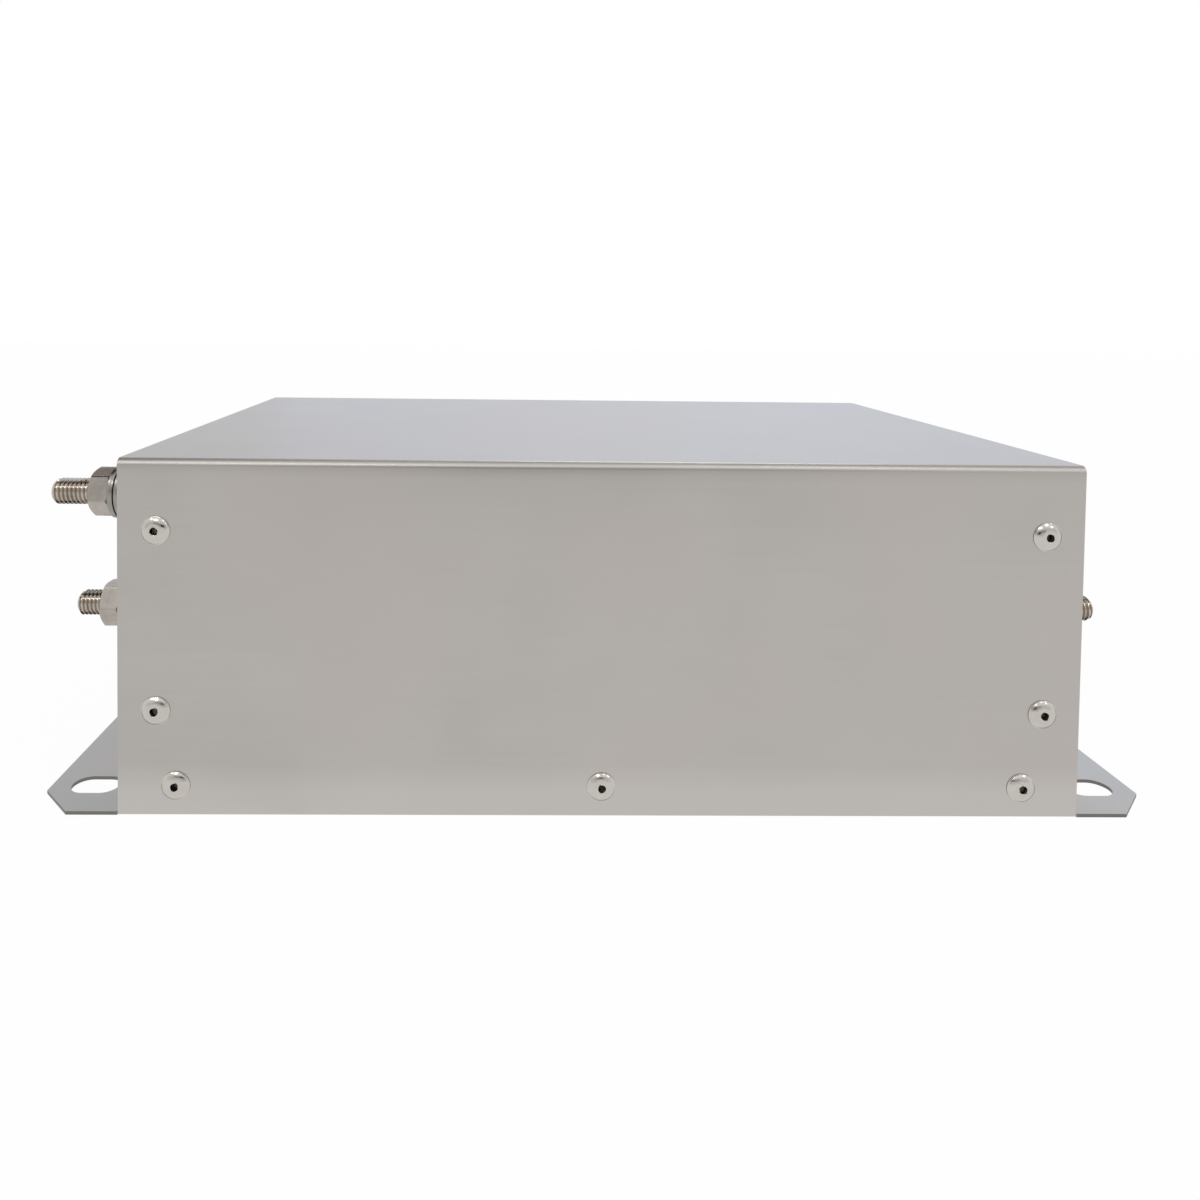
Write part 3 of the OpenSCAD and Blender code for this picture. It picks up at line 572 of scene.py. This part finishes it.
def add_hexagon(piece, place, height, bore_r=None, turn=0.0):
    """A hexagon with turned edges and worn corners: a nut if it has a bore, or else a head."""
    flat_r = NUT_ACROSS / 2
    worn_r = flat_r / math.cos(math.pi / 6) * HEX_WORN
    face_r = flat_r * HEX_FACE

    def side(angle):
        off = (angle - turn) % (math.pi / 3) - math.pi / 6
        return min(flat_r / math.cos(off), worn_r)

    def fall(angle):
        """How far the turned edge has dropped where it meets the side."""
        return (side(angle) - face_r) * HEX_SLOPE

    def from_face_to_side(level, sign):
        """Rings from the flat face out to the hexagon's side."""
        return [
            ring(face_r - HEX_SOFT, level, HEX_POINTS),
            ring(face_r + HEX_SOFT * 0.6, level - sign * HEX_SOFT * 0.35, HEX_POINTS),
            ring(
                lambda a: side(a) - HEX_SOFT,
                lambda a: level - sign * (fall(a) - HEX_SOFT * HEX_SLOPE),
                HEX_POINTS,
            ),
            ring(side, lambda a: level - sign * (fall(a) + HEX_SOFT * 0.6), HEX_POINTS),
        ]

    top = from_face_to_side(height, 1)
    bottom = from_face_to_side(0.0, -1)[::-1]
    if bore_r is None:
        piece.skin([[Vector((0, 0, height))], *top, *bottom, [Vector((0, 0, 0))]], place)
        return
    mouth_r = bore_r + NUT_BORE_SINK
    bore_top = [
        ring(bore_r, height - NUT_BORE_SINK, HEX_POINTS),
        ring(mouth_r, height, HEX_POINTS),
    ]
    bore_bottom = [ring(mouth_r, 0.0, HEX_POINTS), ring(bore_r, NUT_BORE_SINK, HEX_POINTS)]
    piece.skin([*bore_top, *top, *bottom, *bore_bottom], place, closed=True)


def nuts(name, node, end, turn=NUT_TURN):
    piece = Piece(name, nut_nickel)
    for place, height in seats(node, end):
        add_hexagon(piece, place, height, NUT_BORE_R, turn)
    piece.made([node], "plated_fastener", 25.0)


# ---- Studs ----

PITCH = 1.25
STUD_R = 4.0
CREST_R = 3.95
ROOT_R = 3.28
# The form of one turn of the thread: shares of the pitch, and radii
THREAD_FORM = [
    (-0.07, CREST_R),
    (0.07, CREST_R),
    (0.36, ROOT_R + 0.04),
    (0.5, ROOT_R),
    (0.64, ROOT_R + 0.04),
]
THREAD_COLUMNS = 48
# Turns that are made beyond the thread's length and then cut off, and those below its start
SPARE_TURNS = 4
TURNS_BELOW = 1.5
# How near a point lies to the plane that cuts the thread
ON_THE_CUT = 0.0001
STUD_HEAD_H = 5.3
TIP_BEVEL = 1.1
# How far outside the case the threads start
TERMINAL_THREAD_START = 3.2
EARTH_THREAD_START = 0.4


def thread_mesh(low, high):
    """A right-hand thread from low to high, cut off square and closed at both ends, with its tip
    turned to a bevel. Each row of points winds once round, so that it ends one pitch higher."""
    form_points = len(THREAD_FORM)
    rows = (int((high - low) / PITCH) + SPARE_TURNS) * form_points
    bevel_from = high - TIP_BEVEL

    def point(row, column):
        turn, form = divmod(row, form_points)
        share, radius = THREAD_FORM[form]
        z = low + (turn - TURNS_BELOW + share + column / THREAD_COLUMNS) * PITCH
        if z > bevel_from:
            radius = min(radius, CREST_R - (z - bevel_from))
        angle = 2 * math.pi * column / THREAD_COLUMNS
        return Vector((radius * math.cos(angle), radius * math.sin(angle), z))

    bm = bmesh.new()
    grid = [[bm.verts.new(point(row, c)) for c in range(THREAD_COLUMNS)] for row in range(rows)]
    for row in range(rows - form_points):
        for column in range(THREAD_COLUMNS):
            next_row, next_column = row, column + 1
            if next_column == THREAD_COLUMNS:
                next_row, next_column = row + form_points, 0
            if next_row + 1 < rows:
                lower = (grid[row][column], grid[next_row][next_column])
                upper = (grid[next_row + 1][next_column], grid[row + 1][column])
                bm.faces.new(lower + upper)
    for level, away in ((low, -1), (high, 1)):
        bmesh.ops.bisect_plane(
            bm,
            geom=bm.verts[:] + bm.edges[:] + bm.faces[:],
            plane_co=(0, 0, level),
            plane_no=(0, 0, away),
            clear_outer=True,
        )
        rim = [
            edge
            for edge in bm.edges
            if edge.is_boundary and all(abs(v.co.z - level) < ON_THE_CUT for v in edge.verts)
        ]
        middle = bm.verts.new((0, 0, level))
        for edge in rim:
            bm.faces.new((*edge.verts, middle))
    bmesh.ops.recalc_face_normals(bm, faces=bm.faces[:])
    bm.verts.index_update()
    return bm


def add_thread(piece, place, low, high):
    bm = thread_mesh(low, high)
    start = len(piece.points)
    piece.points += [place @ v.co for v in bm.verts]
    for face in bm.faces:
        piece.faces.append(tuple(start + v.index for v in face.verts))
        piece.face_finish.append(0)
    bm.free()


def studs(name, node, end, thread_start):
    """Bolts with their heads inside the case, and threads from thread_start outside it."""
    piece = Piece(name, stud_nickel)
    case_end = abs(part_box("cover")[0].x) / MM
    for place, length in seats(node, end):
        start = case_end - abs(place.translation.x) + thread_start
        shank = [(0, STUD_HEAD_H), (STUD_R, STUD_HEAD_H), (STUD_R, start)]
        run_in = [(ROOT_R, start + 0.5), (ROOT_R, start + 1)]
        add_hexagon(piece, place, STUD_HEAD_H)
        piece.turned(shank + run_in, place, 72)
        add_thread(piece, place, start + 0.2, length)
    piece.made([node], "plated_stud", 40.0)


# ---- Washers and bushes ----

STUD_HOLE_R = 4.2
WASHER_R = 8.0
WASHER_SOFT = 0.22
SPIGOT_R = 7.0
FLANGE_R = 11.0
FLANGE_T = 3.0
BUSH_SOFT = 0.35
TEETH = 12
TOOTH_ROOT_R = 6.3
TOOTH_TIP_R = 7.5
TOOTH_HALF_W = 0.42
# Along a tooth: radius, twist in radians and half the thickness
TOOTH_SECTIONS = [
    (TOOTH_ROOT_R - 0.4, 0.0, 0.28),
    (TOOTH_ROOT_R + 0.2, 0.15, 0.28),
    (TOOTH_TIP_R, 0.42, 0.22),
]
# How far the toothed washer's ring lies inside the reach of its teeth, and its soft edges
TOOTHED_RING_SINK = 0.1
TOOTHED_RING_SOFT = 0.08


def ring_section(outer_r, low, high):
    """The section of a flat ring that goes over a stud."""
    return [(STUD_HOLE_R, low), (outer_r, low), (outer_r, high), (STUD_HOLE_R, high)]


def washers(name, node, end):
    piece = Piece(name, washer_nickel)
    for place, height in seats(node, end):
        add_turned_loop(piece, ring_section(WASHER_R, 0, height), WASHER_SOFT, place)
    piece.made([node], "plated_fastener")


def toothed_washer(name, node, end):
    """A washer whose teeth are twisted to bite into the sheet."""
    piece = Piece(name, washer_nickel)
    (place, height), = seats(node, end)
    flat_ring = ring_section(TOOTH_ROOT_R, TOOTHED_RING_SINK, height - TOOTHED_RING_SINK)
    add_turned_loop(piece, flat_ring, TOOTHED_RING_SOFT, place)
    for i in range(TEETH):
        turn = Matrix.Rotation(2 * math.pi * i / TEETH, 4, "Z")
        blade = []
        for r, twist, half_t in TOOTH_SECTIONS:
            lean = Matrix.Rotation(twist, 4, "X")
            corners = ((-1, -1), (1, -1), (1, 1), (-1, 1))
            section = [Vector((0, y * TOOTH_HALF_W, z * half_t)) for y, z in corners]
            blade.append([turn @ (Vector((r, 0, height / 2)) + lean @ p) for p in section])
        root, tip = ([sum(section, Vector()) / 4] for section in (blade[0], blade[-1]))
        piece.skin([root, *blade, tip], place)
    piece.made([node], "plated_fastener")


def bushes(name, node, end):
    """Insulating bushes with a spigot through the end plate."""
    piece = Piece(name, bush_plastic)
    for place, length in seats(node, end):
        shoulder = length - FLANGE_T
        section = [(STUD_HOLE_R, 0), (SPIGOT_R, 0), (SPIGOT_R, shoulder)]
        section += [(FLANGE_R, shoulder), (FLANGE_R, length), (STUD_HOLE_R, length)]
        add_turned_loop(piece, section, BUSH_SOFT, place, 96)
    piece.made([node], "bush_plastic")


for name, end in (("line", LINE_END), ("load", LOAD_END)):
    bushes(f"{name}_moulded_bushes", f"{name}_outer_bushes", end)
    studs(f"{name}_threaded_studs", f"{name}_studs", end, TERMINAL_THREAD_START)
    washers(f"{name}_bush_flat_washers", f"{name}_bush_washers", end)
    nuts(f"{name}_inner_hex_nuts", f"{name}_clamp_nuts", end)
    washers(f"{name}_lug_flat_washers", f"{name}_lug_washers", end)
    nuts(f"{name}_outer_hex_nuts", f"{name}_outer_nuts", end)
toothed_washer("earth_lock_washer", "earth_toothed_washer", LINE_END)
studs("earth_threaded_stud", "earth_stud", LINE_END, EARTH_THREAD_START)
nuts("earth_inner_hex_nut", "earth_clamp_nut", LINE_END, EARTH_NUT_TURN)
washers("earth_flat_washers", "earth_lug_washers", LINE_END)
nuts("earth_outer_hex_nut", "earth_outer_nut", LINE_END, EARTH_NUT_TURN)


# ---- Rivets ----

RIVET_R = 4.12
RIVET_H = 1.4
RIVET_POINTS = 96
# The dome falls by RIVET_FALL times the radius to the power of RIVET_CURVE
RIVET_FALL = 0.0108
RIVET_CURVE = 3.4
# Where the rim stands on the sheet, and the number of rings from there to the flat
RIM_R = RIVET_R - 0.16
DOME_RINGS = 14
# The flat round the mouth of the hole, the mouth, and how deep the hole is lined
LAND_R = 2.0
MOUTH_R = 1.15
LINED_TO = -0.9
# Inside the case: the body, the end that was drawn up, and where the one widens to the other
BODY_R = 2.0
DRAWN_R = 2.8
SWELL = -2.1


def add_rivet(piece, place, depth, seed):
    """A set blind rivet: a domed head, the torn mandrel in its hole, and the end drawn up
    inside. seed gives it its own dents and tear."""
    drift = Vector((seed * 7.31, seed * 3.17, seed * 1.73))

    def wobble(amount, rate, lift):
        def at(angle):
            spot = Vector((rate * math.cos(angle), rate * math.sin(angle), lift))
            return amount * noise.noise(drift + spot)

        return at

    def dome(r):
        """Flat in the middle and steep at the rim, as the tool's nose leaves it."""
        return RIVET_H - RIVET_FALL * r**RIVET_CURVE

    def dented(r, dent):
        return lambda a: min(dome(r) + dent(a) - 0.02, RIVET_H)

    def round_at(r, z):
        return ring(r, z, RIVET_POINTS)

    land = dome(LAND_R)
    lip = wobble(0.22, 0.9, 5.0)
    burr = wobble(0.03, 3.5, 7.0)
    head = [round_at(RIM_R, 0.0), round_at(RIVET_R - 0.02, 0.1), round_at(RIVET_R - 0.05, 0.19)]
    for i in range(DOME_RINGS):
        r = RIM_R - (RIM_R - LAND_R) * i / (DOME_RINGS - 1)
        head.append(round_at(r, dented(r, wobble(0.025 if i > 0 else 0.005, 2.6, r))))
    head += [
        round_at(LAND_R - 0.2, land - 0.035),
        round_at(MOUTH_R + 0.38, land - 0.02),
        round_at(lambda a: MOUTH_R + 0.12 + lip(a) + burr(a), lambda a: land + 0.03 + burr(a)),
        round_at(lambda a: MOUTH_R - 0.02 + lip(a) + burr(a), land - 0.05),
        round_at(lambda a: MOUTH_R + 0.02 + 0.5 * lip(a), land - 0.35),
        round_at(MOUTH_R, LINED_TO),
    ]
    piece.skin(head, place)

    tip = land - 0.55 - 2.4 * abs(noise.noise(drift + Vector((0.4, 0.3, 12.0))))

    def jagged(r, jag):
        return lambda a: tip - 0.25 * r + jag(a)

    torn = [round_at(MOUTH_R - 0.12, LINED_TO)]
    for r in (0.95, 0.7, 0.45, 0.2):
        torn.append(round_at(r, jagged(r, wobble(0.6 * r, 1.6, 9.0 + r))))
    piece.skin([*torn, [Vector((0, 0, tip))]], place, finish=1)

    body = [(RIVET_R - 0.12, 0.0), (BODY_R, 0.0), (BODY_R, SWELL), (DRAWN_R, SWELL - 0.3)]
    body += [(DRAWN_R, SWELL - 2.2), (2.3, depth + 0.5), (1.2, depth), (0, depth)]
    piece.turned(body, place, 48)


def rivets(name, node, side):
    piece = Piece(name, rivet_metal, mandrel_steel)
    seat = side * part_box("cover")[1].y / MM
    for number, (low, high) in enumerate(solids(node)):
        centre = (low + high) / 2
        depth = max(abs(low.y), abs(high.y)) - abs(seat) - (high.y - low.y)
        place = standing((centre.x, seat, centre.z), (0, side, 0))
        add_rivet(piece, place, depth, number + 3 * side + 5)
    piece.made([node], "rivet_aluminium", 40.0)


rivets("front_blind_rivets", "front_rivets", FRONT)
rivets("back_blind_rivets", "back_rivets", BACK)


# ---- Studio ----

FLOOR_REACH = (-3.0, 3.0)
# The share of plain white in the floor. The rest takes the object's shadow.
FLOOR_WHITE = 0.97
LAMP_TARGET = Vector((0, 0, 0.05))


def seen_or_mirrored(finish):
    """1 for rays from the camera, or that a metal or clear surface has turned."""
    names = ("Is Camera Ray", "Is Glossy Ray", "Is Transmission Ray")
    seen, glossy, clear = (finish.node("ShaderNodeLightPath", {}, {}, name) for name in names)
    return seen.at_least(glossy).at_least(clear)


def white_paper():
    """Paper that shows nearly all plain white, and takes the shadow."""
    f = Finish("white paper")
    lit = f.node("ShaderNodeBsdfDiffuse", {}, {"Color": (0.86, 0.86, 0.86, 1.0)})
    white = f.node("ShaderNodeEmission", {}, {"Color": (1.0, 1.0, 1.0, 1.0), "Strength": 1.0})
    share = seen_or_mirrored(f) * FLOOR_WHITE
    f.close(f.node("ShaderNodeMixShader", {}, {0: share, 1: lit, 2: white}).socket)
    return f.material


def even_glow(name, colour):
    """The finish of a card that shines evenly."""
    f = Finish(name)
    glow = f.node("ShaderNodeEmission", {}, {"Color": (*colour, 1.0), "Strength": 1.0})
    f.close(glow.socket)
    return f.material


def stage_sheet(name, material, corners, seen):
    """A flat sheet of the studio. If it isn't seen, it shows only in the metal."""
    mesh = bpy.data.meshes.new(name)
    mesh.from_pydata(corners, [], [tuple(range(len(corners)))])
    mesh.materials.append(material)
    sheet = bpy.data.objects.new(name, mesh)
    bpy.context.scene.collection.objects.link(sheet)
    sheet.visible_camera = seen


def level_corners(across, along, z):
    (left, right), (front, back) = across, along
    return [(left, front, z), (right, front, z), (right, back, z), (left, back, z)]


def upright_card(name, colour, across, y, up):
    """A card that stands across the studio."""
    (left, right), (low, high) = across, up
    corners = [(left, y, low), (right, y, low), (right, y, high), (left, y, high)]
    stage_sheet(name, even_glow(name, colour), corners, seen=False)


def level_card(name, colour, across, along, z):
    """A card that hangs over the studio."""
    corners = level_corners(across, along, z)
    stage_sheet(name, even_glow(name, colour), corners, seen=False)


def lamp(name, place, size, radiance):
    """A square soft box of a given brightness that looks at the object."""
    light = bpy.data.lights.new(name, "AREA")
    light.shape = "RECTANGLE"
    light.size, light.size_y = size
    light.energy = radiance * math.pi * size[0] * size[1]
    made = bpy.data.objects.new(name, light)
    bpy.context.scene.collection.objects.link(made)
    made.location = place
    made.rotation_euler = (LAMP_TARGET - Vector(place)).to_track_quat("-Z", "Y").to_euler()
    made.visible_camera = False


floor_corners = level_corners(FLOOR_REACH, FLOOR_REACH, 0.0)
stage_sheet("floor", white_paper(), floor_corners, seen=True)

# The room round the object. The two dark cards in front stand where a person and a camera would.
upright_card("front_wall", (0.80, 0.80, 0.80), across=(-2.8, 2.8), y=-1.7, up=(0.0, 1.2))
upright_card("dim_figure", (0.42, 0.40, 0.38), across=(-0.30, 0.24), y=-0.5, up=(0.125, 0.26))
upright_card("camera_body", (0.03, 0.027, 0.024), across=(-0.07, 0.06), y=-0.36, up=(0.105, 0.19))
upright_card("back_wall_left", (0.82, 0.84, 0.89), across=(-2.8, -0.5), y=1.5, up=(0.0, 0.9))
upright_card("back_wall_middle", (0.87, 0.91, 1.00), across=(-0.5, 0.35), y=1.5, up=(0.0, 0.9))
upright_card("back_wall_right", (0.86, 0.92, 1.03), across=(0.35, 2.8), y=1.5, up=(0.0, 0.9))
upright_card("brown_curtain", (0.34, 0.30, 0.28), across=(-1.6, -0.55), y=1.4, up=(1.12, 1.7))
level_card("dark_ceiling", (0.03, 0.03, 0.03), across=(-1.6, -0.55), along=(-0.15, 0.8), z=1.25)
level_card("grey_ceiling", (0.30, 0.28, 0.27), across=(-0.55, 1.6), along=(0.1, 0.7), z=1.25)

lamp("left_lamp", (-0.98, -0.74, 1.10), size=(0.25, 0.22), radiance=6.0)
lamp("middle_lamp", (-0.42, -1.06, 1.18), size=(0.4, 0.25), radiance=6.0)
lamp("right_lamp", (0.57, -0.76, 1.29), size=(0.3, 0.22), radiance=6.0)
lamp("low_right_lamp", (1.09, -0.83, 0.92), size=(0.2, 0.2), radiance=5.0)
lamp("back_lamp", (0.3, 1.1, 1.2), size=(0.8, 0.5), radiance=1.6)


class Surround(Finish):
    """The world's nodes."""

    def __init__(self, of_world):
        self.tree = of_world.node_tree
        self.tree.nodes.clear()


world = bpy.data.worlds.new("studio")
world.use_nodes = True
bpy.context.scene.world = world
air = Surround(world)
backdrop_share = seen_or_mirrored(air)
room = air.node("ShaderNodeBackground", {}, {"Color": (0.96, 0.98, 1.0, 1.0), "Strength": 0.9})
backdrop = air.node("ShaderNodeBackground", {}, {"Color": (1.0, 1.0, 1.0, 1.0), "Strength": 1.0})
joined = air.node("ShaderNodeMixShader", {}, {0: backdrop_share, 1: room, 2: backdrop})
air.close(joined.socket, "ShaderNodeOutputWorld")

lens = bpy.data.cameras.new("camera")
lens.lens = 26.15
lens.sensor_width = 36.0
lens.shift_x = 0.0681
lens.shift_y = -0.2192
lens.clip_start = 0.01
camera = bpy.data.objects.new("camera", lens)
bpy.context.scene.collection.objects.link(camera)
camera.location = (-0.02842, -0.32451, 0.14223)
camera.rotation_euler = [math.radians(angle) for angle in (88.189, -0.653, -0.850)]
bpy.context.scene.camera = camera
bpy.context.scene.view_settings.view_transform = "Standard"
